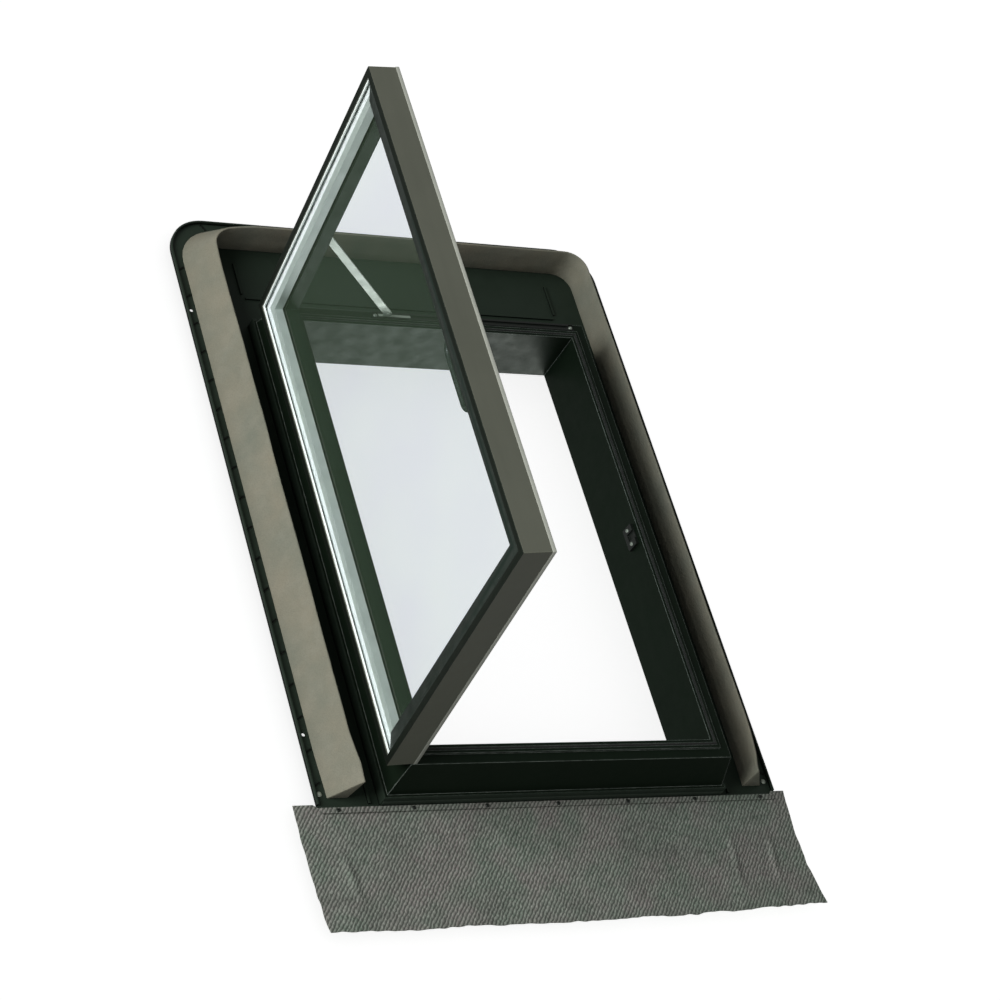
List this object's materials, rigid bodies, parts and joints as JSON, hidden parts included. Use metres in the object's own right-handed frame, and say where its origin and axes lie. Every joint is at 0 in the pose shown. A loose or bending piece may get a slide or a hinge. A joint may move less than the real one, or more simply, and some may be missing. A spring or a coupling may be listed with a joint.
{
  "type": "roof skylight",
  "caption": "Side-hung roof access skylight with a double-glazed sash on a stay, moulded frame, pressed flashing tray, foam wedge seal and pleated bottom apron, drawn lying flat.",
  "frame": {"origin": "centre of the clear opening, in the plane of the frame's underside, which rests on the roof structure", "axes": "+X across the window from the hinge side to the free side, +Y up the roof slope, +Z out of the roof"},
  "size_m": [0.785, 1.1468, 0.5972],
  "materials": {
    "frame_plastic": "moulded, fine satin",
    "tray_metal": "coated sheet, satin",
    "foam": "open-cell foam, matte",
    "apron_sheet": "pleated flexible sheet, matte",
    "carrier_metal": "coated sheet, satin",
    "rubber_black": "matte",
    "dark_metal": "satin black",
    "screw_steel": "zinc plated",
    "stay_steel": "bright stainless",
    "sash_coat": "satin coating",
    "spacer_aluminium": "dull mill finish",
    "seal_grey": "pale sealant, matte",
    "liner_plastic": "dark green plastic",
    "glazing": "clear, slightly coated",
    "handle_coat": "satin coating"
  },
  "bodies": {
    "frame": {"base_frame": "frame_plastic", "flashing_tray": "tray_metal", "foam_seal": "foam", "bottom_flashing": "carrier_metal", "apron": "apron_sheet", "apron_clamp_strip": "dark_metal", "apron_clamp_screws": "dark_metal", "flashing_rivets": "screw_steel", "rim_gasket": "rubber_black", "frame_hinge_leaf_lower": "dark_metal", "frame_hinge_leaf_upper": "dark_metal", "hinge_pin_lower": "screw_steel", "hinge_pin_upper": "screw_steel", "frame_hinge_screws": "screw_steel", "stay_track": "dark_metal", "stay_track_screws": "screw_steel", "strike_plate": "dark_metal", "strike_screws": "screw_steel"},
    "sash": {"stay_bracket": "screw_steel", "stay_pivot_pin": "stay_steel", "sash_hinge_stile": "sash_coat", "sash_free_stile": "sash_coat", "sash_top_rail": "sash_coat", "sash_bottom_rail": "sash_coat", "corner_cleats": "screw_steel", "sash_liner": "liner_plastic", "inner_pane": "glazing", "outer_pane": "glazing", "spacer_bar": "spacer_aluminium", "edge_seal": "seal_grey", "glazing_tape": "rubber_black", "outer_glazing_gasket": "rubber_black", "setting_blocks": "rubber_black", "sash_hinge_leaf_lower": "dark_metal", "sash_hinge_leaf_upper": "dark_metal", "sash_hinge_screws": "screw_steel", "handle_base": "handle_coat", "handle_screws": "screw_steel", "handle_pin_lower": "screw_steel", "handle_pin_upper": "screw_steel"},
    "stay_arm": {"stay_arm": "stay_steel"},
    "stay_shoe": {"stay_shoe": "stay_steel"},
    "handle_loop": {"handle_loop": "handle_coat"}
  },
  "joints": [
    {"name": "sash_hinge", "type": "hinge", "parent": "frame", "child": "sash", "pos_m": [-0.2474, 0, 0.0999], "axis": [0, 1, 0], "range_deg": [0, 95.6]},
    {"name": "stay_arm_pivot", "type": "hinge", "parent": "sash", "child": "stay_arm", "pos_m": [-0.26939, 0.3635, 0.277], "axis": [0, 1, 0], "range_deg": [-139.21, 0]},
    {"name": "stay_shoe_slide", "type": "slide", "parent": "frame", "child": "stay_shoe", "axis": [1, 0, 0], "range_m": [0, 0.26941]},
    {"name": "handle_pivot", "type": "hinge", "parent": "sash", "child": "handle_loop", "pos_m": [-0.28861, -0.049, 0.55505], "axis": [0, 1, 0], "range_deg": [-70, 0]}
  ],
  "couplings": [
    {"joint": "stay_arm_pivot", "follows": "sash_hinge", "ratio": -1.4557},
    {"joint": "stay_shoe_slide", "follows": "sash_hinge", "m_per_rad": 0.16141}
  ]
}
